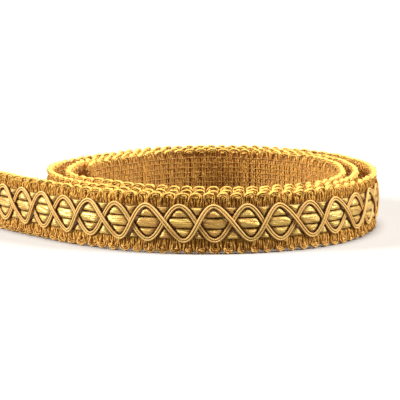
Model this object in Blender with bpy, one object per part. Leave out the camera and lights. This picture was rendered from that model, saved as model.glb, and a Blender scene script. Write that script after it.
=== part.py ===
"""Gimp braid trim, a narrow furnishing braid, wound into a loose coil that stands on its edge.

The ribbed ground tape has looped edges. On its outer face lie three flat rows of satin floats, and over
them two twin cords are couched down in waves that cross each other. Sizes are in millimetres and MM turns
them into metres. The origin is under the middle of the whole outline, on the surface the tape stands on.

The winding is described by turn angle. Turn 0 is the front, -Y. Turn 90 is +X, 180 is +Y, 270 is -X, and
360 is the front again, one layer further in. Negative turns are the loose outer end.
"""
import math

import bmesh
import bpy
import numpy as np

MM = 0.001

# The tape
TAPE_WIDTH = 15.9          # loop tip to loop tip, which is its height as it stands
TAPE_THICKNESS = 1.1
WAVE_LENGTH = 16.84        # one full wave of a cord, along the middle of the tape
FIRST_CREST = 0.1          # where along the tape the front crest of the upper cord lies
LOOPS_PER_WAVE = 5
LOOP_DEPTH = 0.6           # how far the notch between two loops is set back
NOTCH_BELOW = 3            # which quarter of a loop's pitch has the notch below
NOTCH_ABOVE = 1            # and above: the other quarters are flat, and those below rest on the surface

# What lies on the tape's outer face, with LAYER_GAP between the layers
LAYER_GAP = 0.3
SATIN_THICKNESS = 0.25
SATIN_ROW_WIDTH = 2.4
SATIN_ROW_PITCH = 2.75
SATIN_EDGE = 0.2           # how far a row's outer edges are rounded off
SATIN_STATIONS_PER_WAVE = 3
CORD_WIDTH = 1.2           # both strands of a twin cord together
CORD_THICKNESS = 0.35
CORD_EDGE = 0.2
CORD_STATIONS_PER_WAVE = 8
WAVE_HEIGHT = 4.4          # crest of a wave above the tape's middle
UNDER_LEAN = 0.18          # radians by which a wave's fall outlasts its rise, in the under cord
OVER_LEAN = 0.45           # and in the over cord
CROSSING_RISE = 0.75       # how far the upper cord climbs where it passes over the lower one
END_SETBACK = 0.4          # rows and cords end this far inside the tape's cut ends

# The winding: the turn in degrees, and the distance in millimetres from the coil's centre to the middle
# of the tape's thickness
LOOSE_END = (
    (-92, 64.1),
    (-80, 57.1),
    (-68, 51.4),
    (-56, 48.2),
    (-44, 46.3),
    (-30, 45.4),
)
OUTER_TURN = (
    (0, 44.0),
    (60, 45.0),
    (90, 44.6),
    (130, 45.0),
    (190, 44.8),
    (212, 42.8),
    (226, 41.4),
    (240, 42.3),
    (254, 44.1),
    (268, 44.5),
    (285, 43.7),
    (300, 42.6),
    (316, 41.6),
    (338, 40.5),
)
MIDDLE_TURN = (
    (360, 39.8),
    (400, 40.2),
    (420, 40.5),
    (450, 39.5),
    (490, 40.8),
    (550, 40.8),
    (572, 39.1),
    (586, 37.8),
    (600, 38.6),
    (630, 39.1),
    (646, 39.2),
    (656, 38.0),
    (667, 35.8),
    (683, 34.1),
    (700, 33.6),
)
INNER_TURN = (
    (727, 34.6),
    (758, 36.5),
    (780, 36.9),
    (810, 36.0),
    (850, 37.1),
    (910, 37.1),
    (932, 35.4),
    (946, 34.1),
    (962, 34.9),
    (984, 35.0),
)
WINDING = LOOSE_END + OUTER_TURN + MIDDLE_TURN + INNER_TURN
PATH_STEP = 0.25           # degrees between the points along which the winding is measured

GROUND_COLOUR = (0.46, 0.27, 0.06, 1.0)
SATIN_COLOUR = (0.72, 0.56, 0.22, 1.0)
CORD_COLOUR = (0.60, 0.38, 0.12, 1.0)


class Winding:
    """The coiled middle line of the tape, measured by the length along it from turn 0."""

    def __init__(self):
        turn = np.arange(WINDING[0][0], WINDING[-1][0] + PATH_STEP / 2, PATH_STEP)
        radius = self.radius_at(turn)
        self.x = radius * np.sin(np.radians(turn))
        self.y = -radius * np.cos(np.radians(turn))
        step = np.hypot(np.diff(self.x), np.diff(self.y))
        length = np.concatenate(([0.0], np.cumsum(step)))
        self.along = length - np.interp(0.0, turn, length)
        self.heading = np.unwrap(np.arctan2(np.gradient(self.y, length), np.gradient(self.x, length)))

    @staticmethod
    def radius_at(turn):
        """Radius at each turn, on a smooth cubic curve through the rows of the winding."""
        knots, radii = np.array(WINDING, dtype=float).T
        spans = np.diff(knots)
        secants = np.diff(radii) / spans
        slopes = np.empty_like(radii)
        slopes[1:-1] = (secants[:-1] * spans[1:] + secants[1:] * spans[:-1]) / (spans[:-1] + spans[1:])
        slopes[0] = secants[0]
        slopes[-1] = secants[-1]
        row = np.clip(np.searchsorted(knots, turn, side="right") - 1, 0, len(spans) - 1)
        t = (turn - knots[row]) / spans[row]
        rise = spans[row]
        return (
            radii[row] * (1 + 2 * t) * (1 - t) ** 2
            + slopes[row] * rise * t * (1 - t) ** 2
            + radii[row + 1] * t ** 2 * (3 - 2 * t)
            + slopes[row + 1] * rise * t ** 2 * (t - 1)
        )

    def place(self, along, height, outward):
        """Points in metres: a length along the tape, a height above its foot, a distance off its middle."""
        heading = np.interp(along, self.along, self.heading)
        x = np.interp(along, self.along, self.x) + outward * np.sin(heading)
        y = np.interp(along, self.along, self.y) - outward * np.cos(heading)
        return np.stack(np.broadcast_arrays(x, y, height), axis=-1) * MM


def cut_ends(winding):
    """Where the tape is cut: at whole loops, close to the winding's two ends."""
    pitch = WAVE_LENGTH / LOOPS_PER_WAVE
    first = (math.ceil(winding.along[0] / pitch) + 1) * pitch
    last = (math.floor(winding.along[-1] / pitch) - 1) * pitch
    return first, last


def stations_between(first, last, spacing):
    """Lengths along the tape that are whole multiples of the spacing, with both ends added."""
    inner = np.arange(math.ceil(first / spacing + 0.25), math.floor(last / spacing - 0.25) + 1) * spacing
    return np.concatenate(([first], inner, [last]))


def ground_rings(winding, first, last):
    """Four-cornered sections of the ground tape. Loops below and above alternate, half a loop apart."""
    quarter = WAVE_LENGTH / LOOPS_PER_WAVE / 4
    station = np.arange(round(first / quarter), round(last / quarter) + 1)
    below = np.where(station % 4 == NOTCH_BELOW, LOOP_DEPTH, 0.0)[:, None]
    above = np.where(station % 4 == NOTCH_ABOVE, LOOP_DEPTH, 0.0)[:, None]
    side = np.array([-1, 1, 1, -1]) * TAPE_THICKNESS / 2
    height = np.concatenate((below, below, TAPE_WIDTH - above, TAPE_WIDTH - above), axis=1)
    return winding.place((station * quarter)[:, None], height, side)


def satin_rings(winding, first, last, middle):
    """Sections of one flat row of floats, whose outer edges are rounded off."""
    along = stations_between(first, last, WAVE_LENGTH / SATIN_STATIONS_PER_WAVE)[:, None]
    base = TAPE_THICKNESS / 2 + LAYER_GAP
    half = SATIN_ROW_WIDTH / 2
    outward = base + np.array([0, 0, 1, 1]) * SATIN_THICKNESS
    height = middle + np.array([-half, half, half - SATIN_EDGE, SATIN_EDGE - half])
    return winding.place(along, height, outward)


def cord_rings(winding, first, last, crest_side, lean, rise):
    """Sections of one twin cord, square to its wave. Its crest at the front points up or down."""
    along = stations_between(first, last, WAVE_LENGTH / CORD_STATIONS_PER_WAVE)
    phase = 2 * math.pi * (along - FIRST_CREST) / WAVE_LENGTH + math.pi * (1 - crest_side) / 2
    leaning = phase - lean * (1 - np.cos(phase)) / 2
    height = TAPE_WIDTH / 2 + WAVE_HEIGHT * np.cos(leaning)
    turning = (1 - lean * np.sin(phase) / 2) * 2 * math.pi / WAVE_LENGTH
    slope = -WAVE_HEIGHT * np.sin(leaning) * turning
    stretch = np.hypot(1.0, slope)
    lift = rise * np.sin(phase - (UNDER_LEAN + OVER_LEAN) / 4) ** 2
    base = TAPE_THICKNESS / 2 + 2 * LAYER_GAP + SATIN_THICKNESS
    across = np.array([-1, 1, 1, -1]) * CORD_WIDTH / 2 - np.array([0, 0, 1, -1]) * CORD_EDGE
    outward = base + lift[:, None] + np.array([0, 0, 1, 1]) * CORD_THICKNESS
    along = along[:, None] - across * (slope / stretch)[:, None]
    height = height[:, None] + across / stretch[:, None]
    return winding.place(along, height, outward)


def fabric(name, colour, roughness):
    """A Principled material for yarn."""
    material = bpy.data.materials.new(name)
    material.use_nodes = True
    shader = material.node_tree.nodes["Principled BSDF"]
    shader.inputs["Base Color"].default_value = colour
    shader.inputs["Roughness"].default_value = roughness
    shader.inputs["Metallic"].default_value = 0.0
    material.diffuse_color = colour
    return material


def swept_solid(name, rings, material, parent):
    """One closed body through sections with the same number of corners, capped at both ends."""
    body = bmesh.new()
    sections = [[body.verts.new(point) for point in ring] for ring in rings]
    for near, far in zip(sections, sections[1:]):
        for corner in range(len(near)):
            following = (corner + 1) % len(near)
            body.faces.new((near[corner], near[following], far[following], far[corner]))
    body.faces.new(sections[0][::-1])
    body.faces.new(sections[-1])
    bmesh.ops.recalc_face_normals(body, faces=body.faces)
    mesh = bpy.data.meshes.new(name)
    body.to_mesh(mesh)
    body.free()
    mesh.materials.append(material)
    solid = bpy.data.objects.new(name, mesh)
    solid.parent = parent
    bpy.context.scene.collection.objects.link(solid)
    return solid


def outline_centre(all_rings):
    """Middle of the rectangle round every section, in X and Y."""
    points = np.concatenate([rings.reshape(-1, 3) for rings in all_rings])
    return (points.min(axis=0) + points.max(axis=0)) / 2


def main():
    for leftover in list(bpy.data.objects):
        bpy.data.objects.remove(leftover, do_unlink=True)

    winding = Winding()
    first, last = cut_ends(winding)
    inner_first = first + END_SETBACK
    inner_last = last - END_SETBACK
    middle = TAPE_WIDTH / 2

    ground = fabric("ground_yarn", GROUND_COLOUR, 0.85)
    satin = fabric("satin_yarn", SATIN_COLOUR, 0.35)
    cord = fabric("cord_yarn", CORD_COLOUR, 0.6)

    pieces = {
        "ground_tape": (ground_rings(winding, first, last), ground),
        "wave_cord_under": (cord_rings(winding, inner_first, inner_last, -1, UNDER_LEAN, 0.0), cord),
        "wave_cord_over": (cord_rings(winding, inner_first, inner_last, 1, OVER_LEAN, CROSSING_RISE), cord),
    }
    for row, place in (("lower", -1), ("middle", 0), ("upper", 1)):
        rings = satin_rings(winding, inner_first, inner_last, middle + place * SATIN_ROW_PITCH)
        pieces["satin_row_" + row] = (rings, satin)

    coil = bpy.data.objects.new("coil_centre", None)
    bpy.context.scene.collection.objects.link(coil)
    centre = outline_centre([rings for rings, _ in pieces.values()])
    coil.location = (-centre[0], -centre[1], 0.0)
    for name, (rings, material) in pieces.items():
        swept_solid(name, rings, material, coil)


if __name__ == "__main__":
    main()
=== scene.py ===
"""Gimp braid trim wound into a loose coil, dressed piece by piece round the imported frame.

The ground tape is one gimp yarn that runs to and fro across the tape's width, so that its legs are the ribs
and its turns are the looped edges. On its outer face lie three rows of satin floats, pinched down where two
twin cords cross over them in waves. The reverse shows the ribs and thin rows of warp stitches.

Everything is in metres. A point on the tape is given by how far along it lies, how far up, and how far out
from the middle of its thickness. Along is 0 at the front of the coil.
"""
import math

import bpy
import numpy as np
from bpy.props import FloatProperty, FloatVectorProperty, PointerProperty
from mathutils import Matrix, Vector


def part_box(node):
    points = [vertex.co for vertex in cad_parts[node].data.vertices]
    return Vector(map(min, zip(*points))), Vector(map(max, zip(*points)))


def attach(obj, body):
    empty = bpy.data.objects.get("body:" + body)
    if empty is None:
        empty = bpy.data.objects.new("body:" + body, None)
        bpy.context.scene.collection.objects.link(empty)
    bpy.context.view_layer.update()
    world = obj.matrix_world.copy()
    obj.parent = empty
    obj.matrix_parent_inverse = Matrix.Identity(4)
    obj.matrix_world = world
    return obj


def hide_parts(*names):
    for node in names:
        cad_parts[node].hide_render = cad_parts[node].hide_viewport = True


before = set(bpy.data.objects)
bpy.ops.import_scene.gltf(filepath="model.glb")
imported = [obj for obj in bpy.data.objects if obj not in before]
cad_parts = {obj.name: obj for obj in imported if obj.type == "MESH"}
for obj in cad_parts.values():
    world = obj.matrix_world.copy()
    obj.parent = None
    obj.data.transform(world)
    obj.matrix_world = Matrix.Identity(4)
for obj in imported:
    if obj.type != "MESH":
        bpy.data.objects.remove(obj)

bl_info = {
    "name": "Gimp braid trim",
    "version": (1, 0, 0),
    "blender": (4, 5, 0),
    "location": "3D View > Sidebar > Trim",
    "description": "Makes a loose coil of gimp braid piece by piece, with its floor, lights and camera",
    "category": "Object",
}

MM = 0.001
BODY = "root"
TURN = 2 * math.pi
OUT = np.array([0.0, 0.0, 1.0])

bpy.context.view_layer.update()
TAPE_LOW, TAPE_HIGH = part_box("ground_tape")
TAPE_WIDTH = TAPE_HIGH.z - TAPE_LOW.z

# The tape as the frame has it
TAPE_THICKNESS = 1.1 * MM
WAVE_LENGTH = 16.84 * MM
LOOPS_PER_WAVE = 5
LOOP_PITCH = WAVE_LENGTH / LOOPS_PER_WAVE
RIB_PITCH = LOOP_PITCH / 2
WAVE_HEIGHT = 4.4 * MM
FIRST_CREST = 0.1 * MM

# By how many radians a wave's fall outlasts its rise, in the under cord and in the over cord
UNDER_LEAN = 0.18
OVER_LEAN = 0.45

# The winding: the turn in degrees, and the distance in millimetres from the coil's centre to the middle
# of the tape's thickness. Turn 0 is the front, and 90 is the right of the picture.
LOOSE_END = (
    (-92, 64.1),
    (-80, 57.1),
    (-68, 51.4),
    (-56, 48.2),
    (-44, 46.3),
    (-30, 45.4),
)
OUTER_TURN = (
    (0, 44.0),
    (60, 45.0),
    (90, 44.6),
    (130, 45.0),
    (190, 44.8),
    (212, 42.8),
    (226, 41.4),
    (240, 42.3),
    (254, 44.1),
    (268, 44.5),
    (285, 43.7),
    (300, 42.6),
    (316, 41.6),
    (338, 40.5),
)
MIDDLE_TURN = (
    (360, 39.8),
    (400, 40.2),
    (420, 40.5),
    (450, 39.5),
    (490, 40.8),
    (550, 40.8),
    (572, 39.1),
    (586, 37.8),
    (600, 38.6),
    (630, 39.1),
    (646, 39.2),
    (656, 38.0),
    (667, 35.8),
    (683, 34.1),
    (700, 33.6),
)
INNER_TURN = (
    (727, 34.6),
    (758, 36.5),
    (780, 36.9),
    (810, 36.0),
    (850, 37.1),
    (910, 37.1),
    (932, 35.4),
    (946, 34.1),
    (962, 34.9),
    (984, 35.0),
)
WINDING = LOOSE_END + OUTER_TURN + MIDDLE_TURN + INNER_TURN
PATH_STEP = 0.25           # degrees from one point of the tape's path to the next

# How finely each yarn is divided
STRANDS_PER_RIB = 3
RIB_RINGS = 20
LOOP_RINGS = 8
RIB_SIDES = 6
SATIN_STEP = 0.5 * MM
THREAD_POINTS = 3
CORD_STEP = 0.42 * MM
CORD_SIDES = 8
STITCH_RINGS_PER_RIB = 3
STITCH_SIDES = 4
TUFTS = 26
TUFT_POINTS = 7
TUFT_SIDES = 5
FUZZ_FIBRES = 4200
FUZZ_POINTS = 5
FUZZ_SIDES = 3
SHARP_ANGLE = math.radians(65)  # an edge that bends more than this isn't shaded smooth

# The base cloth: how far it ends inside the looped edges, and half its thickness
CLOTH_INSET = 0.95 * MM
CLOTH_HALF = 0.22 * MM

# The looped edges stand out over the middle, which the satin rows press flat
PRESSED_HALF = 4.1 * MM
EDGE_RAMP = 0.9 * MM
EDGE_LIFT = 0.2 * MM
EDGE_SWELL = 0.14 * MM

# Each loop is a little wider than its share of the edge, and slants so that it passes its neighbours
LOOP_BULGE = 0.42
LOOP_SLANT = 0.5 * MM
LOOP_LEAN = 1.5            # how many times as far as its rib a loop leans out

# How uneven the ribs are: their place, their bend along and out of the tape, and their loops' tips
RIB_DRIFT = 0.09 * MM
RIB_BOW = 0.11 * MM
RIB_LEAN = 0.1 * MM
TIP_SETBACK = 0.22 * MM

# The strands of a rib twist round each other and have knobs, more so in the looped edges
TWIST_PITCH = 4.6 * MM
TWIST_SWAY = 0.06 * MM
TWIST_RISE = 0.05 * MM
EDGE_SWAY = 0.1 * MM
EDGE_RISE = 0.16 * MM
KNOB_PITCH = 1.15 * MM
KNOB_SIZE = 0.08
EDGE_KNOB_SIZE = 0.12

# How rough a strand is: its place along the tape and out of it, and its thickness
ROUGH_ALONG = 0.035 * MM
ROUGH_OUT = 0.06 * MM
ROUGH_THICKNESS = 0.09

# How uneven the cords' waves are, along the tape and in height
WAVE_SLIP = 0.10 * MM
WAVE_SWING = 0.08 * MM

# The satin rows: where their pads start beside a cord, and how steeply their sides fall
SATIN_FOOT = 0.45 * MM
SATIN_SKIN = 0.1 * MM
SATIN_THREADS = 5
PINCH_START = 0.9 * MM
PINCH_REACH = 0.9 * MM
CROWN_STEEPNESS = 1.45
RIDGE_HEIGHT = 0.13 * MM
SATIN_SIDE = 0.2 * MM      # how far the pattern of the threads goes on down a row's side

# How uneven the satin rows are: their place, the pinch beside the cords, and the pads' height
ROW_WAVER = 0.06 * MM
PINCH_WAVER = 0.05 * MM
PAD_UNEVENNESS = 0.12
PAD_SHEAR = 5 * MM         # how far the high places of a pad lie aslant over half its width

# The twin cords: height of their middle over the tape's, and how far one climbs over the other
CORD_OUT = 1.02 * MM
CROSSING_RISE = 0.55 * MM
STRAND_SPREAD = 1.04
STRAND_DEPTH = 1.05
FACE_SETBACK = 0.4 * MM    # rows and cords end this far inside the tape's cut ends

# How far the painted light on the two looped edges reaches into the tape, and over what width it fades
TIP_REACH = 2.4 * MM
TIP_FADE = 1.6 * MM
FOOT_REACH = 3.4 * MM
FOOT_FADE = 2.2 * MM

# Tints that the yarns take in places, besides their own colours: painted light and shade, and the cords'
# orange
PAINTED_TOP_LIGHT = (0.87, 0.575, 0.11)
PAINTED_FOOT_LIGHT = (1.0, 0.57, 0.17)
PAINTED_FIBRE_GLINT = (1.0, 0.66, 0.22)
PAINTED_PAD_SHADE = (0.47, 0.21, 0.045)
PAINTED_PAD_HIGHLIGHT = (1.0, 0.80, 0.42)
PAINTED_THREAD_GAP_SHADE = (0.36, 0.15, 0.03)
CORD_ORANGE = (0.90, 0.42, 0.10)

# The fuzz: the share of its fibres along the upper edge, how deep inside an edge and how far from the
# cut ends and from the middle of the tape's thickness they start, and how low and high they may reach
UPPER_SHARE = 0.62
FUZZ_DEPTH = 1.1 * MM
FUZZ_INSET = 0.5 * MM
FUZZ_SETBACK = 1 * MM
FUZZ_OUT = 0.5 * MM
FUZZ_LOWEST = 0.15 * MM    # above the foot of the tape
FUZZ_HIGHEST = 0.3 * MM    # above its upper edge

# The rows of stitches on the reverse
STITCH_ROWS = 8
STITCH_MARGIN = 2.8 * MM
STITCH_IN = 0.34 * MM
STITCH_HEIGHT = 0.32 * MM
STITCH_STEEPNESS = 1.4
STITCH_WAVER = 0.1 * MM
STITCH_SETBACK = 0.5 * MM

# The tufts of the cut ends: how far inside the edges, and how deep in the tape they start
TUFT_MARGIN = 1.6 * MM
TUFT_ROOT = 0.6 * MM

# The stage: name, direction toward the light, strength and spread in degrees of each light
LIGHTS = (
    ("light_above", (0.0, -0.05, 1.0), 4.2, 30),
    ("light_left", (-1.0, -0.14, 0.5), 4.6, 18),
    ("light_right", (1.0, -0.14, 0.75), 4.0, 18),
)
WARM_SKY = (1.0, 0.84, 0.62, 1.0)
WHITE = (1.0, 1.0, 1.0, 1.0)
FLOOR_SIZE = 60.0
FLOOR_TINTS = ((0.385, 0.37, 0.355), (0.4, 0.385, 0.37))
SENSOR_WIDTH = 36.0
AIM_LEFT = 3.15 * MM       # how far left of the coil's middle the camera looks
AIM_LOW = 1.54 * MM        # and how far below it

# Seeds of the small irregularities, one for each kind of piece
RIB_SEED = 11
SATIN_SEED = 23
CORD_SEED = 37
STITCH_SEED = 41
FRAY_SEED = 53
FUZZ_SEED = 67


class TapeSizes(bpy.types.PropertyGroup):
    """Sizes of the ribbed ground."""

    strand_width: FloatProperty(
        name="Strand width",
        description="Width of one of the gimp strands that lie side by side in each rib",
        default=0.48 * MM,
        subtype="DISTANCE",
        unit="LENGTH",
        precision=5,
    )
    strand_depth: FloatProperty(
        name="Strand depth",
        description="Thickness of a gimp strand, through the tape",
        default=0.92 * MM,
        subtype="DISTANCE",
        unit="LENGTH",
        precision=5,
    )
    ply_pitch: FloatProperty(
        name="Ply pitch",
        description="Length in which the wrapping of a gimp strand goes round it once",
        default=1.15 * MM,
        subtype="DISTANCE",
        unit="LENGTH",
        precision=5,
    )
    stitch_width: FloatProperty(
        name="Stitch width",
        description="Thickness of the warp stitches on the reverse",
        default=0.2 * MM,
        subtype="DISTANCE",
        unit="LENGTH",
        precision=5,
    )


class FaceSizes(bpy.types.PropertyGroup):
    """Sizes of what lies on the outer face."""

    row_width: FloatProperty(
        name="Satin row width",
        description="Width of one row of satin floats",
        default=2.62 * MM,
        subtype="DISTANCE",
        unit="LENGTH",
        precision=5,
    )
    row_pitch: FloatProperty(
        name="Satin row pitch",
        description="Distance from the middle of one satin row to the next",
        default=2.75 * MM,
        subtype="DISTANCE",
        unit="LENGTH",
        precision=5,
    )
    pad_height: FloatProperty(
        name="Pad height",
        description="How far a satin pad stands up between the cords",
        default=0.82 * MM,
        subtype="DISTANCE",
        unit="LENGTH",
        precision=5,
    )
    strand_width: FloatProperty(
        name="Cord strand width",
        description="Width of one of the two strands of a twin cord",
        default=0.57 * MM,
        subtype="DISTANCE",
        unit="LENGTH",
        precision=5,
    )


class YarnColours(bpy.types.PropertyGroup):
    """Colours of the yarns."""

    ground: FloatVectorProperty(
        name="Ground yarn",
        description="Mustard gold of the ribs where the light falls on them",
        default=(0.93, 0.487, 0.073),
        subtype="COLOR",
        size=3,
        min=0.0,
        max=1.0,
    )
    # Painted shade: this brown stands in for shade wherever the yarns are darkened, between the ribs, in
    # the hollows and recesses and on the reverse
    shade: FloatVectorProperty(
        name="Ground shade",
        description="Brown of the ground between the ribs and on the reverse",
        default=(0.44, 0.17, 0.027),
        subtype="COLOR",
        size=3,
        min=0.0,
        max=1.0,
    )
    satin: FloatVectorProperty(
        name="Satin floats",
        description="Lemon gold of the satin floats",
        default=(0.87, 0.55, 0.105),
        subtype="COLOR",
        size=3,
        min=0.0,
        max=1.0,
    )
    cord: FloatVectorProperty(
        name="Twin cords",
        description="Tan gold of the wave cords",
        default=(0.87, 0.505, 0.155),
        subtype="COLOR",
        size=3,
        min=0.0,
        max=1.0,
    )


class StageSettings(bpy.types.PropertyGroup):
    """Floor, light and camera."""

    distance: FloatProperty(
        name="Camera distance",
        description="From the camera to the point that it looks at",
        default=0.463,
        subtype="DISTANCE",
        unit="LENGTH",
    )
    elevation: FloatProperty(
        name="Camera elevation",
        description="How far above the floor's level the camera looks from",
        default=math.radians(9.6),
        subtype="ANGLE",
        unit="ROTATION",
    )
    lens: FloatProperty(
        name="Lens",
        description="Focal length in millimetres on a sensor 36 mm wide",
        default=149.7,
    )
    sky: FloatProperty(
        name="Surrounding light",
        description="Strength of the even warm light from all round",
        default=0.3,
    )


class Tape:
    """The coiled tape as a set of directions: along it, up its width, and out from its face."""

    def __init__(self):
        turn = np.arange(WINDING[0][0], WINDING[-1][0] + PATH_STEP / 2, PATH_STEP)
        radius = self.radius_at(turn) * MM
        self.x = radius * np.sin(np.radians(turn))
        self.y = -radius * np.cos(np.radians(turn))
        step = np.hypot(np.diff(self.x), np.diff(self.y))
        length = np.concatenate(([0.0], np.cumsum(step)))
        self.along = length - np.interp(0.0, turn, length)
        self.heading = np.unwrap(np.arctan2(np.gradient(self.y, length), np.gradient(self.x, length)))
        self.first = (math.ceil(self.along[0] / LOOP_PITCH) + 1) * LOOP_PITCH
        self.last = (math.floor(self.along[-1] / LOOP_PITCH) - 1) * LOOP_PITCH
        self.centre = np.zeros(3)
        quarter = LOOP_PITCH / 4
        station = np.arange(round(self.first / quarter), round(self.last / quarter) + 1) * quarter
        sides = np.array([-1, 1]) * TAPE_THICKNESS / 2
        outline = self.place(station[:, None], 0.0, sides).reshape(-1, 3)
        own_middle = (outline.min(axis=0) + outline.max(axis=0)) / 2
        frame_middle = (np.array(TAPE_LOW) + np.array(TAPE_HIGH)) / 2
        self.centre = np.array([*(frame_middle - own_middle)[:2], TAPE_LOW.z])

    @staticmethod
    def radius_at(turn):
        """Radius in millimetres at each turn, on a smooth cubic curve through the rows of the winding."""
        knots, radii = np.array(WINDING, dtype=float).T
        spans = np.diff(knots)
        secants = np.diff(radii) / spans
        slopes = np.empty_like(radii)
        slopes[1:-1] = (secants[:-1] * spans[1:] + secants[1:] * spans[:-1]) / (spans[:-1] + spans[1:])
        slopes[0] = secants[0]
        slopes[-1] = secants[-1]
        row = np.clip(np.searchsorted(knots, turn, side="right") - 1, 0, len(spans) - 1)
        t = (turn - knots[row]) / spans[row]
        rise = spans[row]
        return (
            radii[row] * (1 + 2 * t) * (1 - t) ** 2
            + slopes[row] * rise * t * (1 - t) ** 2
            + radii[row + 1] * t ** 2 * (3 - 2 * t)
            + slopes[row + 1] * rise * t ** 2 * (t - 1)
        )

    def place(self, along, up, out):
        """Points in the frame, for lengths along the tape, heights above its foot and distances outward."""
        heading = np.interp(along, self.along, self.heading)
        x = np.interp(along, self.along, self.x) + out * np.sin(heading)
        y = np.interp(along, self.along, self.y) - out * np.cos(heading)
        return np.stack(np.broadcast_arrays(x, y, up), axis=-1) + self.centre


TAPE = Tape()


def wander(along, rng, size, shortest, longest, waves=5):
    """A smooth uneven wandering along the tape: waves of several lengths added up."""
    lengths = np.geomspace(shortest, longest, waves)
    starts = rng.uniform(0, TURN, waves)
    total = sum(np.sin(TURN * along / length + start) for length, start in zip(lengths, starts))
    return size * total / math.sqrt(waves)


def smooth_step(value):
    """From 0 to 1, with level ends."""
    t = np.clip(value, 0.0, 1.0)
    return t * t * (3 - 2 * t)


def quarter_round(value):
    """From 0 to 1 like the side of a pillow: steep at first, then level."""
    t = np.clip(value, 0.0, 1.0)
    return np.sqrt(1 - (1 - t) ** 2)


def unit(vectors):
    """The same directions at length 1."""
    return vectors / np.linalg.norm(vectors, axis=-1, keepdims=True)


def lengths_along(path):
    """Length from the start to each point of a path."""
    return np.concatenate(([0.0], np.cumsum(np.linalg.norm(np.diff(path, axis=0), axis=1))))


def sideways(path):
    """Direction square to a path on the tape's face, at each of its points."""
    return unit(np.cross(OUT, np.gradient(path, axis=0)))


def yarn_rings(path, half_side, half_out, sides, swell=1.0):
    """Rings round a yarn that follows a path on the tape. The swell makes it thicker or thinner."""
    tangent = unit(np.gradient(path, axis=0))
    side = sideways(path)
    lift = np.cross(tangent, side)
    angle = np.arange(sides) * TURN / sides
    swell = np.broadcast_to(swell, len(path))[:, None]
    half_side, half_out = (np.broadcast_to(half, len(path))[:, None] for half in (half_side, half_out))
    across = (half_side * np.cos(angle) * swell)[..., None] * side[:, None]
    outward = (half_out * np.sin(angle) * swell)[..., None] * lift[:, None]
    ring = path[:, None] + across + outward
    ring[..., 1] = np.maximum(ring[..., 1], 0.0)
    return TAPE.place(ring[..., 0], ring[..., 1], ring[..., 2])


def new_piece(name, vertices, faces, uvs, material, slot):
    """A piece of the trim from points, faces and the place of each face corner on its yarn."""
    mesh = bpy.data.meshes.new(name)
    mesh.from_pydata(vertices.tolist(), [], faces)
    layer = mesh.uv_layers.new(name="Yarn")
    layer.data.foreach_set("uv", uvs.astype(np.float32).ravel())
    mesh.shade_smooth()
    mesh.set_sharp_from_angle(angle=SHARP_ANGLE)
    mesh.materials.append(material)
    piece = bpy.data.objects.new(name, mesh)
    bpy.context.scene.collection.objects.link(piece)
    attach(piece, BODY)
    return piece


def sweep(sections, lengths, around):
    """Points, faces and yarn places of one closed body through sections with the same number of corners."""
    rings, corners = sections.shape[:2]
    ring = np.arange(rings - 1)[:, None]
    corner = np.arange(corners)[None, :]
    following = (corner + 1) % corners
    near, far = ring * corners, (ring + 1) * corners
    quads = np.stack((near + corner, near + following, far + following, far + corner), axis=-1)
    u = np.stack(np.broadcast_arrays(
        lengths[:-1, None], lengths[:-1, None], lengths[1:, None], lengths[1:, None] + corner * 0
    ), axis=-1)
    v = np.stack(np.broadcast_arrays(
        around[:-1][None, :], around[1:][None, :], around[1:][None, :], around[:-1][None, :] + ring * 0
    ), axis=-1)
    faces = quads.reshape(-1, 4).tolist()
    uvs = [np.stack((u, v), axis=-1).reshape(-1, 2)]
    last = (rings - 1) * corners
    faces.append(list(range(corners))[::-1])
    faces.append(list(range(last, last + corners)))
    for place, order in ((lengths[0], around[:-1][::-1]), (lengths[-1], around[:-1])):
        uvs.append(np.stack((np.full(corners, place), order), axis=-1))
    return sections.reshape(-1, 3), faces, np.concatenate(uvs)


def join_sweeps(parts):
    """Several swept bodies as one set of points, faces and yarn places."""
    vertices, faces, uvs, offset = [], [], [], 0
    for points, quads, places in parts:
        vertices.append(points)
        faces.extend([[index + offset for index in face] for face in quads])
        uvs.append(places)
        offset += len(points)
    return np.concatenate(vertices), faces, np.concatenate(uvs)


def yarn(path, half_side, half_out, sides, swell=1.0):
    """One yarn along a path on the tape, as a swept body."""
    rings = yarn_rings(path, half_side, half_out, sides, swell)
    return sweep(rings, lengths_along(path), np.linspace(0.0, 1.0, sides + 1))


def in_edge(up):
    """1 in the two looped edges, 0 in the middle of the tape that the satin rows press flat."""
    return smooth_step((np.abs(up - TAPE_WIDTH / 2) - PRESSED_HALF) / EDGE_RAMP)


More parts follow.
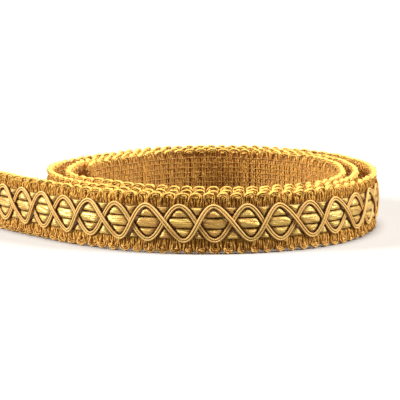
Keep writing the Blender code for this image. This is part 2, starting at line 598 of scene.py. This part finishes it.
def rib_path(first_rib, last_rib):
    """The gimp yarn's way to and fro across the tape, from one rib to another."""
    rng = np.random.default_rng(RIB_SEED)
    tape = bpy.context.scene.trim_tape
    total = round((TAPE.last - TAPE.first) / RIB_PITCH) + 3
    start = round(TAPE.first / RIB_PITCH)
    drift = rng.normal(0, RIB_DRIFT, total)
    bow = rng.normal(0, RIB_BOW, total)
    lean = rng.normal(0, RIB_LEAN, total)
    tip = rng.uniform(0, TIP_SETBACK, total)
    reach = RIB_PITCH / 2 + tape.strand_width * STRANDS_PER_RIB / 2
    points = []
    for rib in range(first_rib, last_rib + 1):
        index = rib - start
        down = rib % 2 == 0
        foot, head = reach, TAPE_WIDTH - reach
        t = np.linspace(0, 1, RIB_RINGS)
        up = head + (foot - head) * t if down else foot + (head - foot) * t
        along = rib * RIB_PITCH + drift[index] + bow[index] * np.sin(math.pi * t)
        out = lean[index] * np.sin(math.pi * t)
        points.append(np.stack((along, up, out), axis=-1))
        if rib == last_rib:
            break
        near = rib * RIB_PITCH + drift[index]
        far = (rib + 1) * RIB_PITCH + drift[index + 1]
        middle, radius = (near + far) / 2, (far - near) / 2
        angle = math.pi * np.arange(1, LOOP_RINGS) / LOOP_RINGS
        bulge = 1 + LOOP_BULGE * np.sin(angle)
        along = middle - radius * bulge * np.cos(angle)
        depth = (RIB_PITCH / 2 - tip[index]) * np.sin(angle)
        up = foot - depth if down else head + depth
        out = (lean[index] * LOOP_LEAN + LOOP_SLANT * np.cos(angle)) * np.sin(angle)
        points.append(np.stack((along, up, out), axis=-1))
    path = np.concatenate(points)
    path[:, 2] += EDGE_LIFT * in_edge(path[:, 1])
    return path


def wave_up(along, crest_side):
    """Height above the foot of one cord's middle line. Its crest at the front points up or down."""
    rng = np.random.default_rng(CORD_SEED + crest_side)
    slip = wander(along, rng, WAVE_SLIP, shortest=0.7 * WAVE_LENGTH, longest=4.3 * WAVE_LENGTH)
    swing = wander(along, rng, WAVE_SWING, shortest=0.9 * WAVE_LENGTH, longest=5.1 * WAVE_LENGTH)
    phase = TURN * (along - FIRST_CREST + slip) / WAVE_LENGTH + math.pi * (1 - crest_side) / 2
    lean = OVER_LEAN if crest_side > 0 else UNDER_LEAN
    leaning = phase - lean * (1 - np.cos(phase)) / 2
    return TAPE_WIDTH / 2 + (WAVE_HEIGHT + swing) * np.cos(leaning)


def from_cords(along, up):
    """Distance on the face from points to the nearer cord's middle line."""
    nearest = np.full(np.broadcast(along, up).shape, np.inf)
    for crest_side in (-1, 1):
        line = wave_up(along, crest_side)
        slope = np.gradient(line, axis=0) / np.gradient(along, axis=0)
        nearest = np.minimum(nearest, np.abs(up - line) / np.hypot(1.0, slope))
    return nearest


class Wire:
    """A socket's output, on which arithmetic adds Math nodes."""

    def __init__(self, shader, socket):
        self.shader = shader
        self.socket = socket

    def maths(self, operation, *values):
        """One Math node on this and other values."""
        inputs = dict(enumerate(values))
        return self.shader.node("ShaderNodeMath", {"operation": operation}, inputs)

    def __add__(self, other):
        return self.maths("ADD", self, other)

    def __radd__(self, other):
        return self.maths("ADD", other, self)

    def __sub__(self, other):
        return self.maths("SUBTRACT", self, other)

    def __rsub__(self, other):
        return self.maths("SUBTRACT", other, self)

    def __mul__(self, other):
        return self.maths("MULTIPLY", self, other)

    def __truediv__(self, other):
        return self.maths("DIVIDE", self, other)

    def __pow__(self, other):
        return self.maths("POWER", self, other)

    def __abs__(self):
        return self.maths("ABSOLUTE", self)

    def wave(self):
        """Sine of a number of turns."""
        return self.maths("SINE", self * TURN)

    def ridges(self):
        """Ridges from 0 to 1, one for each turn."""
        return self.wave() * 0.5 + 0.5

    def limited(self):
        """Held between 0 and 1."""
        return self.shader.node("ShaderNodeClamp", {}, {0: self})


class Nodes:
    """The nodes of a material or of the sky."""

    def __init__(self, tree):
        self.tree = tree

    def plug(self, socket, value):
        """Links a wire to a socket, or sets the socket's own value."""
        if isinstance(value, Wire):
            self.tree.links.new(value.socket, socket)
        else:
            socket.default_value = value

    def node(self, kind, settings, inputs, output=0):
        """Any node, by its type, its settings and the values of its sockets."""
        node = self.tree.nodes.new(kind)
        for name, value in settings.items():
            setattr(node, name, value)
        for name, value in inputs.items():
            self.plug(node.inputs[name], value)
        return Wire(self, node.outputs[output])


class Shader(Nodes):
    """The nodes of one material, round its Principled shader."""

    def __init__(self, name, **constants):
        self.material = bpy.data.materials.new(name)
        self.material.use_nodes = True
        super().__init__(self.material.node_tree)
        self.surface = self.tree.nodes["Principled BSDF"]
        for socket, value in constants.items():
            self.surface.inputs[socket.replace("_", " ")].default_value = value

    def yarn_place(self):
        """Two wires: the length along the yarn in metres, and the place round or across it."""
        place = self.node("ShaderNodeUVMap", {"uv_map": "Yarn"}, {})
        parts = self.node("ShaderNodeSeparateXYZ", {}, {0: place})
        return parts, Wire(self, parts.socket.node.outputs[1])

    def object_place(self):
        """Three wires: a point's place in the frame."""
        place = self.node("ShaderNodeTexCoord", {}, {}, "Object")
        parts = self.node("ShaderNodeSeparateXYZ", {}, {0: place})
        return [Wire(self, output) for output in parts.socket.node.outputs]

    def noise(self, x, y, z=0.0, detail=2.0):
        """Noise from 0 to 1 whose grains are one unit of the given places across."""
        place = self.node("ShaderNodeCombineXYZ", {}, {0: x, 1: y, 2: z})
        inputs = {"Vector": place, "Scale": 1.0, "Detail": detail, "Roughness": 0.5}
        return self.node("ShaderNodeTexNoise", {}, inputs)

    def mix(self, factor, low, high):
        """A colour between two others."""
        inputs = {0: factor, 6: low, 7: high}
        return self.node("ShaderNodeMix", {"data_type": "RGBA"}, inputs, 2)

    def bump(self, height, depth):
        """A normal from a height between 0 and 1, for a relief that is so many metres deep."""
        inputs = {"Height": height, "Distance": depth, "Strength": 1.0}
        return self.node("ShaderNodeBump", {}, inputs)

    def finish(self, **inputs):
        """Plugs the surface's own sockets and gives the material."""
        for socket, value in inputs.items():
            self.plug(self.surface.inputs[socket.replace("_", " ")], value)
        return self.material


def opaque(colour, factor=1.0):
    """A colour property with its alpha, made lighter or darker."""
    return (*(min(1.0, channel * factor) for channel in colour), 1.0)


def gimp_yarn_finish():
    """Matte two-ply yarn, with painted light and shade: yellow where it catches the light, brown painted
    shade in the hollows and on the reverse.
    """
    tape, colours = bpy.context.scene.trim_tape, bpy.context.scene.trim_colours
    shader = Shader("gimp_yarn", Roughness=0.7, Specular_IOR_Level=0.25)
    length, around = shader.yarn_place()
    x, y, z = shader.object_place()
    # The sides of each strand, where painted shade darkens the gaps between the strands
    painted_hollow_shade = abs((around + 0.25).wave()) ** 3.0
    # The side of each strand that faces the reverse, which gets painted shade
    reverse = (0.5 - around.wave() * 0.5).limited()
    ply = (around - length / tape.ply_pitch).ridges()
    grain = 1.6 * MM
    patches = shader.noise(x / grain, y / grain, z / grain, detail=3.0)
    fibres = shader.noise(length / (0.35 * MM), around * 9.0, detail=3.0)
    wraps = (length / (0.32 * MM) + around * 2.0).ridges()
    # The upper loops: painted light from above makes them yellower, and they get less of the painted shade
    edge = ((z - (TAPE_WIDTH - TIP_REACH)) / TIP_FADE).limited()
    # The lower loops: painted light brightens them toward orange
    foot = ((FOOT_REACH - z) / FOOT_FADE).limited()
    # Painted shade in the groove between the plies, less of it on the upper loops
    groove = ((1 - ply) * (0.68 - edge * 0.24)).limited()
    painted_hollow_shade = (painted_hollow_shade * (0.64 - reverse * 0.16 - edge * 0.3)).limited()
    dark, bright = opaque(colours.ground, 0.62), opaque(colours.ground, 1.25)
    gold = shader.mix((patches * 2.2 - 0.6).limited(), dark, bright)
    gold = shader.mix(edge * 0.5, gold, opaque(PAINTED_TOP_LIGHT))
    gold = shader.mix(foot * 0.45, gold, opaque(PAINTED_FOOT_LIGHT))
    # Painted shade: on the reverse, in the ply groove and in the gaps between the strands
    gold = shader.mix((reverse * (1 - edge) * 0.3).limited(), gold, opaque(colours.shade, 1.7))
    gold = shader.mix(groove, gold, opaque(colours.shade, 1.25))
    gold = shader.mix(painted_hollow_shade, gold, opaque(colours.shade, 0.6))
    # Painted glints on fibres that catch the light
    gold = shader.mix((fibres * 2.2 - 0.8).limited() * 0.62, gold, opaque(PAINTED_FIBRE_GLINT))
    relief = shader.bump(ply * 0.5 + wraps * 0.3 + fibres * 0.4, depth=0.16 * MM)
    return shader.finish(Base_Color=gold, Normal=relief)


def base_cloth_finish():
    """The close plain weave that shows only between the ribs."""
    colours = bpy.context.scene.trim_colours
    shader = Shader("base_cloth", Roughness=0.9)
    length, across = shader.yarn_place()
    warp = (across / (0.42 * MM)).ridges()
    weft = (length / (0.5 * MM)).ridges()
    grain = shader.noise(length / (0.3 * MM), across / (0.3 * MM))
    # The cloth's brown is the ground shade: painted shade for the cloth that lies deep between the ribs
    dark, bright = opaque(colours.shade, 0.45), opaque(colours.shade, 1.1)
    brown = shader.mix((warp * weft * 0.7 + grain * 0.3).limited(), dark, bright)
    relief = shader.bump(warp * 0.5 + weft * 0.5, depth=0.1 * MM)
    return shader.finish(Base_Color=brown, Normal=relief)


def satin_finish():
    """Glossy floats that lie side by side, each a bundle of fine filaments, with painted shade and painted
    highlights.
    """
    colours = bpy.context.scene.trim_colours
    shader = Shader("satin_floats", Metallic=0.35, Specular_IOR_Level=0.8)
    length, across = shader.yarn_place()
    # How far each point of a pad stands up; where it is low, painted shade darkens the recess beside the
    # cords
    raised = shader.node("ShaderNodeAttribute", {"attribute_name": "raised"}, {}, "Fac")
    filaments = shader.noise(length / (3.0 * MM), across / (0.09 * MM), detail=3.0)
    threads = shader.noise(length / (6.0 * MM), across / (0.34 * MM), detail=1.0)
    patches = shader.noise(length / (9.0 * MM), across / (2.5 * MM), z=5.0)
    lines = shader.noise(length / (5.0 * MM), across / (0.17 * MM), z=7.0, detail=1.0)
    dark, bright = opaque(colours.satin, 0.34), opaque(colours.satin, 1.32)
    gold = shader.mix((threads * 1.8 - 0.4).limited(), dark, bright)
    # Painted shade in brown patches and painted highlights in cream patches of the pads
    gold = shader.mix((patches * 2.8 - 0.85).limited(), opaque(PAINTED_PAD_SHADE), gold)
    gold = shader.mix((patches * 3.0 - 1.65).limited() * 0.7, gold, opaque(PAINTED_PAD_HIGHLIGHT))
    # Painted shade in the gaps between the satin threads
    gold = shader.mix((1.35 - lines * 2.6).limited() * 0.6, gold, opaque(PAINTED_THREAD_GAP_SHADE))
    gold = shader.mix((filaments * 0.4).limited(), gold, opaque(colours.satin, 1.2))
    # Painted shade, nearly black brown, where the pads are pinched down beside the cords
    gold = shader.mix((raised * 1.2).limited(), opaque(colours.shade, 0.3), gold)
    roughness = 0.22 + filaments * 0.2 + (1 - raised).limited() * 0.4
    relief = shader.bump(filaments * 0.6 + threads * 0.4, depth=0.14 * MM)
    return shader.finish(Base_Color=gold, Roughness=roughness, Normal=relief)


def cord_finish():
    """Wrapped strands with a soft sheen, and painted shade in the groove between the two, on their sides
    and underneath.
    """
    colours = bpy.context.scene.trim_colours
    shader = Shader("wave_cord", Specular_IOR_Level=0.35)
    length, around = shader.yarn_place()
    wraps = (length / (0.24 * MM) + around).ridges()
    grain = shader.noise(length / (0.8 * MM), around * 4.0, detail=3.0)
    # The strands' sides and undersides, which get painted shade
    sides = abs((around + 0.25).wave()) ** 4.0
    under = (0.25 - around.wave()).limited()
    warmth = shader.noise(length / (5.0 * MM), around * 1.5, z=3.0)
    dark, bright = opaque(colours.cord, 0.72), opaque(colours.cord, 1.3)
    gold = shader.mix((grain * 1.8 - 0.4).limited(), dark, bright)
    gold = shader.mix((warmth * 3.0 - 1.2).limited() * 0.6, gold, opaque(CORD_ORANGE))
    gold = shader.mix((wraps * 0.25).limited(), gold, opaque(colours.cord, 1.5))
    # Painted shade on the sides, in the groove between the strands and underneath
    gold = shader.mix(((sides * 0.75 + under) * 0.9).limited(), gold, opaque(colours.shade, 0.6))
    roughness = 0.42 + grain * 0.2
    relief = shader.bump(wraps * 0.6 + grain * 0.4, depth=0.06 * MM)
    return shader.finish(Base_Color=gold, Roughness=roughness, Normal=relief)


def stitch_finish():
    """Thin soft yarn of the warp stitches."""
    colours = bpy.context.scene.trim_colours
    shader = Shader("stitch_yarn", Roughness=0.75, Sheen_Weight=0.2)
    length, around = shader.yarn_place()
    twist = (length / (0.6 * MM) + around * 2.0).ridges()
    grain = shader.noise(length / (1.1 * MM), around * 5.0)
    dark, bright = opaque(colours.ground, 0.38), opaque(colours.ground, 0.66)
    gold = shader.mix((grain * 0.6 + twist * 0.4).limited(), dark, bright)
    relief = shader.bump(twist * 0.6 + grain * 0.4, depth=0.08 * MM)
    return shader.finish(Base_Color=gold, Normal=relief)


def floor_finish():
    """Plain pale floor."""
    shader = Shader("pale_floor", Roughness=0.9, Specular_IOR_Level=0.1)
    x, y, _ = shader.object_place()
    cloud = shader.noise(x * 4.0, y * 4.0)
    pale = shader.mix(cloud, *(opaque(tint) for tint in FLOOR_TINTS))
    return shader.finish(Base_Color=pale)


class TRIM_OT_base_cloth(bpy.types.Operator):
    """Lay the thin cloth inside the tape, which the ribs are wound round"""

    bl_idname = "trim.base_cloth"
    bl_label = "Lay the base cloth"

    def execute(self, context):
        along = np.arange(TAPE.first, TAPE.last + RIB_PITCH / 4, RIB_PITCH / 2)
        out = np.array([CLOTH_HALF, CLOTH_HALF, -CLOTH_HALF, -CLOTH_HALF])
        foot, head = CLOTH_INSET, TAPE_WIDTH - CLOTH_INSET
        up = np.array([head, foot, foot, head])
        up = up + (along * 0)[:, None]
        sections = TAPE.place(along[:, None], up, out)[:, ::-1]
        corners = np.cumsum([0.0, 2 * CLOTH_HALF, TAPE_WIDTH - 2 * CLOTH_INSET, 2 * CLOTH_HALF])
        around = np.concatenate((corners, [TAPE_WIDTH * 2]))
        piece = new_piece("base_cloth", *sweep(sections, along, around), base_cloth_finish(), "ground_yarn")
        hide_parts("ground_tape")
        return {"FINISHED"}


class TRIM_OT_ribs(bpy.types.Operator):
    """Weave the gimp yarn to and fro, so that its legs are ribs and its turns are loops"""

    bl_idname = "trim.ribs"
    bl_label = "Weave the ribs and looped edges"

    def execute(self, context):
        tape = context.scene.trim_tape
        finish = gimp_yarn_finish()
        rng = np.random.default_rng(RIB_SEED + 1)
        first = round(TAPE.first / RIB_PITCH)
        last = round(TAPE.last / RIB_PITCH)
        third = (last - first) // 3
        limits = (first, first + third, first + 2 * third, last)
        for name, start, end in zip(("outer", "middle", "inner"), limits, limits[1:]):
            middle = rib_path(start, end)
            half_width = tape.strand_width / 2
            half_depth = tape.strand_depth / 2 + EDGE_SWELL * in_edge(middle[:, 1])
            strands = []
            for side in np.arange(STRANDS_PER_RIB) - (STRANDS_PER_RIB - 1) / 2:
                path = middle + 2 * side * half_width * sideways(middle)
                edge = in_edge(path[:, 1])
                way = lengths_along(path)
                count = len(path)
                twist = TURN * (way / TWIST_PITCH + side / STRANDS_PER_RIB)
                sway = (TWIST_SWAY + EDGE_SWAY * edge) * np.cos(twist)
                path[:, 0] += sway + rng.normal(0, ROUGH_ALONG, count)
                rise = (TWIST_RISE + EDGE_RISE * edge) * np.sin(twist)
                path[:, 2] += rise + rng.normal(0, ROUGH_OUT, count)
                knobs = (KNOB_SIZE + EDGE_KNOB_SIZE * edge) * np.sin(TURN * way / KNOB_PITCH + side)
                swell = 1 + knobs + rng.normal(0, ROUGH_THICKNESS, count)
                strands.append(yarn(path, half_width, half_depth, RIB_SIDES, swell))
            body = join_sweeps(strands)
            piece = new_piece("gimp_ribs_" + name, *body, finish, "ground_yarn")
            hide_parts("ground_tape")
        return {"FINISHED"}


class TRIM_OT_satin_rows(bpy.types.Operator):
    """Lay the three rows of satin floats, pinched down beside the cords"""

    bl_idname = "trim.satin_rows"
    bl_label = "Lay the satin rows"

    def execute(self, context):
        face = context.scene.trim_face
        finish = satin_finish()
        rng = np.random.default_rng(SATIN_SEED)
        along = np.arange(TAPE.first + FACE_SETBACK, TAPE.last - FACE_SETBACK, SATIN_STEP)[:, None]
        share = np.linspace(1, -1, SATIN_THREADS * THREAD_POINTS + 1)[None, :]
        for name, row in (("upper", 1), ("middle", 0), ("lower", -1)):
            waver = wander(along, rng, ROW_WAVER, shortest=3 * MM, longest=30 * MM)
            up = TAPE_WIDTH / 2 + row * face.row_pitch + waver + share * face.row_width / 2
            slack = wander(along, rng, PINCH_WAVER, shortest=2 * MM, longest=14 * MM)
            apart = from_cords(along, up) + slack
            pinch = quarter_round((apart - PINCH_START) / PINCH_REACH)
            crown = quarter_round((1 - np.abs(share)) * CROWN_STEEPNESS)
            ridge = 0.5 - 0.5 * np.cos(TURN * (share + 1) / 2 * SATIN_THREADS)
            aslant = along + share * PAD_SHEAR
            uneven = wander(aslant, rng, PAD_UNEVENNESS, shortest=4 * MM, longest=20 * MM)
            plump = pinch * crown
            pad = face.pad_height * plump * (1 + uneven) + RIDGE_HEIGHT * ridge * pinch
            top = TAPE.place(along, up, SATIN_FOOT + SATIN_SKIN + pad)
            foot = TAPE.place(along, up[:, [-1, 0]], SATIN_FOOT)
            sections = np.concatenate((top, foot), axis=1)
            across = (1 - share[0]) * face.row_width / 2
            around = np.concatenate((across, across[[-1]] + SATIN_SIDE, [0.0], [0.0]))
            body = sweep(sections, along[:, 0], around)
            piece = new_piece("satin_floats_" + name, *body, finish, "satin_yarn")
            # Each point's height in its pad, for the painted shade in the recesses beside the cords
            raised = piece.data.attributes.new("raised", "FLOAT", "POINT")
            feet = np.zeros((len(plump), 2))
            heights = np.concatenate((plump, feet), axis=1).astype(np.float32)
            raised.data.foreach_set("value", heights.ravel())
            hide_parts("satin_row_" + name)
        return {"FINISHED"}


class TRIM_OT_wave_cords(bpy.types.Operator):
    """Couch down the two twin cords, the second over the first wherever they cross"""

    bl_idname = "trim.wave_cords"
    bl_label = "Couch the wave cords"

    def execute(self, context):
        face = context.scene.trim_face
        finish = cord_finish()
        half = face.strand_width / 2
        along = np.arange(TAPE.first + FACE_SETBACK, TAPE.last - FACE_SETBACK, CORD_STEP)
        for name, crest_side, rise in (("under", -1, 0.0), ("over", 1, CROSSING_RISE)):
            up = wave_up(along, crest_side)
            slope = np.gradient(up, along)
            stretch = np.hypot(1.0, slope)
            from_crossing = TURN * (along - FIRST_CREST) / WAVE_LENGTH - (UNDER_LEAN + OVER_LEAN) / 4
            out = CORD_OUT + rise * np.sin(from_crossing) ** 2
            strands = []
            for side in (-1, 1):
                shift = side * half * STRAND_SPREAD
                path = np.stack((along - shift * slope / stretch, up + shift / stretch, out), axis=-1)
                strands.append(yarn(path, half, half * STRAND_DEPTH, CORD_SIDES))
            piece = new_piece("twin_cord_" + name, *join_sweeps(strands), finish, "cord_yarn")
            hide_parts("wave_cord_" + name)
        return {"FINISHED"}


class TRIM_OT_reverse_stitches(bpy.types.Operator):
    """Run the thin rows of warp stitches along the reverse"""

    bl_idname = "trim.reverse_stitches"
    bl_label = "Stitch the reverse"

    def execute(self, context):
        tape = context.scene.trim_tape
        finish = stitch_finish()
        rng = np.random.default_rng(STITCH_SEED)
        step = RIB_PITCH / STITCH_RINGS_PER_RIB
        along = np.arange(TAPE.first + STITCH_SETBACK, TAPE.last - STITCH_SETBACK, step)
        rows = []
        heights = np.linspace(STITCH_MARGIN, TAPE_WIDTH - STITCH_MARGIN, STITCH_ROWS)
        for number, height in enumerate(heights):
            up = height + wander(along, rng, STITCH_WAVER, shortest=3 * MM, longest=40 * MM)
            over = 0.5 + 0.5 * np.cos(math.pi * along / RIB_PITCH + math.pi * number)
            out = -(STITCH_IN + STITCH_HEIGHT * smooth_step(over * STITCH_STEEPNESS))
            path = np.stack((along, up, out), axis=-1)
            rows.append(yarn(path, tape.stitch_width / 2, tape.stitch_width / 2, STITCH_SIDES))
        new_piece("reverse_stitches", *join_sweeps(rows), finish, "ground_yarn")
        return {"FINISHED"}


class TRIM_OT_cut_ends(bpy.types.Operator):
    """Fray the two cut ends a little"""

    bl_idname = "trim.cut_ends"
    bl_label = "Fray the cut ends"

    def execute(self, context):
        rng = np.random.default_rng(FRAY_SEED)
        tufts = []
        for end, way in ((TAPE.first, -1), (TAPE.last, 1)):
            for height in np.linspace(TUFT_MARGIN, TAPE_WIDTH - TUFT_MARGIN, TUFTS):
                t = np.linspace(0, 1, TUFT_POINTS)
                reach = rng.uniform(0.7, 2.6) * MM
                droop = rng.normal(0, 0.7) * MM
                bend = rng.normal(0, 0.6) * MM
                out = rng.uniform(-0.3, 0.9) * MM
                path = np.stack((
                    end - way * TUFT_ROOT + way * reach * t,
                    height + rng.normal(0, 0.15) * MM + droop * t ** 2,
                    out + bend * t ** 2,
                ), axis=-1)
                thickness = rng.uniform(0.09, 0.17) * MM
                tufts.append(yarn(path, thickness, thickness, TUFT_SIDES))
        new_piece("cut_end_fray", *join_sweeps(tufts), stitch_finish(), "ground_yarn")
        return {"FINISHED"}


class TRIM_OT_fuzz(bpy.types.Operator):
    """Let fine fibres stand out of the yarns, most of them along the looped edges"""

    bl_idname = "trim.fuzz"
    bl_label = "Raise the fuzz"

    def execute(self, context):
        rng = np.random.default_rng(FUZZ_SEED)
        fibres = []
        for _ in range(FUZZ_FIBRES):
            along = rng.uniform(TAPE.first + FUZZ_SETBACK, TAPE.last - FUZZ_SETBACK)
            depth = FUZZ_INSET + rng.exponential(FUZZ_DEPTH)
            upper = rng.uniform() < UPPER_SHARE
            up = TAPE_WIDTH - depth if upper else depth
            face = rng.choice((-1.0, 1.0))
            start = np.array([along, up, face * FUZZ_OUT])
            lengthwise = rng.normal(0, 0.8) * MM
            rise = abs(rng.normal(0, 0.45)) * MM * upper
            outward = face * rng.uniform(0.25, 0.75) * MM
            t = np.linspace(0, 1, FUZZ_POINTS)[:, None]
            bend = rng.normal(0, 0.25, 3) * MM * np.array([1.0, 0.3, 1.0])
            path = start + t * np.array([lengthwise, rise, outward]) + t * (1 - t) * 4 * bend
            path[:, 1] = np.clip(path[:, 1], FUZZ_LOWEST, TAPE_WIDTH + FUZZ_HIGHEST)
            thickness = rng.uniform(0.028, 0.05) * MM
            fibres.append(yarn(path, thickness, thickness, FUZZ_SIDES))
        new_piece("edge_fuzz", *join_sweeps(fibres), stitch_finish(), "ground_yarn")
        return {"FINISHED"}


class TRIM_OT_sew_together(bpy.types.Operator):
    """Does nothing: the pieces are left as they are"""

    bl_idname = "trim.sew_together"
    bl_label = "Sew the pieces together"

    def execute(self, context):
        return {"FINISHED"}


def soft_light(name, toward, strength, spread):
    """Even light from far off, from one side of the coil. The spread softens its shadows."""
    lamp = bpy.data.lights.new(name, "SUN")
    lamp.energy = strength
    lamp.angle = math.radians(spread)
    holder = bpy.data.objects.new(name, lamp)
    holder.rotation_euler = Vector(toward).to_track_quat("Z", "Y").to_euler()
    bpy.context.scene.collection.objects.link(holder)


def studio_sky(strength):
    """A sky that lights the trim warmly, while the camera sees white behind the floor."""
    world = bpy.data.worlds.new("studio")
    world.use_nodes = True
    made = world.node_tree.nodes
    made.remove(made["Background"])
    sky = Nodes(world.node_tree)
    seen = sky.node("ShaderNodeLightPath", {}, {}, "Is Camera Ray")
    warm = sky.node("ShaderNodeBackground", {}, {"Color": WARM_SKY, "Strength": strength})
    white = sky.node("ShaderNodeBackground", {}, {"Color": WHITE, "Strength": 1.0})
    surface = sky.node("ShaderNodeMixShader", {}, {0: seen, 1: warm, 2: white})
    sky.plug(made["World Output"].inputs["Surface"], surface)
    return world


class TRIM_OT_stage(bpy.types.Operator):
    """Put the floor, the lights and the camera round the coil"""

    bl_idname = "trim.stage"
    bl_label = "Set the stage"

    def execute(self, context):
        stage = context.scene.trim_stage
        coil = Vector(TAPE.centre) + Vector((0, 0, TAPE_WIDTH / 2))
        half = FLOOR_SIZE / 2
        mesh = bpy.data.meshes.new("floor")
        corners = [(-half, -half, 0), (half, -half, 0), (half, half, 0), (-half, half, 0)]
        mesh.from_pydata([(x, y, TAPE_LOW.z) for x, y, _ in corners], [], [(0, 1, 2, 3)])
        mesh.materials.append(floor_finish())
        floor = bpy.data.objects.new("floor", mesh)
        floor.visible_diffuse = False
        context.scene.collection.objects.link(floor)
        floor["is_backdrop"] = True

        for name, toward, strength, spread in LIGHTS:
            soft_light(name, toward, strength, spread)

        context.scene.world = studio_sky(stage.sky)
        context.scene.view_settings.view_transform = "Standard"

        camera_data = bpy.data.cameras.new("camera")
        camera_data.lens = stage.lens
        camera_data.sensor_width = SENSOR_WIDTH
        camera = bpy.data.objects.new("camera", camera_data)
        upward = Vector((0, math.sin(stage.elevation), math.cos(stage.elevation)))
        target = coil - Vector((AIM_LEFT, 0, 0)) - upward * AIM_LOW
        back = Vector((0, -math.cos(stage.elevation), math.sin(stage.elevation)))
        camera.location = target + back * stage.distance
        camera.rotation_euler = (math.pi / 2 - stage.elevation, 0, 0)
        context.scene.collection.objects.link(camera)
        context.scene.camera = camera
        return {"FINISHED"}


STEPS = (
    TRIM_OT_base_cloth,
    TRIM_OT_ribs,
    TRIM_OT_satin_rows,
    TRIM_OT_wave_cords,
    TRIM_OT_reverse_stitches,
    TRIM_OT_cut_ends,
    TRIM_OT_fuzz,
    TRIM_OT_sew_together,
    TRIM_OT_stage,
)
SETTINGS = (
    ("trim_tape", TapeSizes),
    ("trim_face", FaceSizes),
    ("trim_colours", YarnColours),
    ("trim_stage", StageSettings),
)


class TRIM_PT_steps(bpy.types.Panel):
    """The steps of making the trim, and their sizes and colours"""

    bl_idname = "TRIM_PT_steps"
    bl_label = "Gimp braid trim"
    bl_space_type = "VIEW_3D"
    bl_region_type = "UI"
    bl_category = "Trim"

    def draw(self, context):
        for name, group in SETTINGS:
            column = self.layout.column(align=True)
            for setting in group.__annotations__:
                column.prop(getattr(context.scene, name), setting)
        for step in STEPS:
            self.layout.operator(step.bl_idname)


def register():
    for name, group in SETTINGS:
        bpy.utils.register_class(group)
        setattr(bpy.types.Scene, name, PointerProperty(type=group))
    for step in STEPS:
        bpy.utils.register_class(step)
    bpy.utils.register_class(TRIM_PT_steps)


def unregister():
    bpy.utils.unregister_class(TRIM_PT_steps)
    for step in reversed(STEPS):
        bpy.utils.unregister_class(step)
    for name, group in reversed(SETTINGS):
        delattr(bpy.types.Scene, name)
        bpy.utils.unregister_class(group)


def main():
    register()
    for step in STEPS:
        group, name = step.bl_idname.split(".")
        getattr(getattr(bpy.ops, group), name)()


if __name__ == "__main__":
    main()
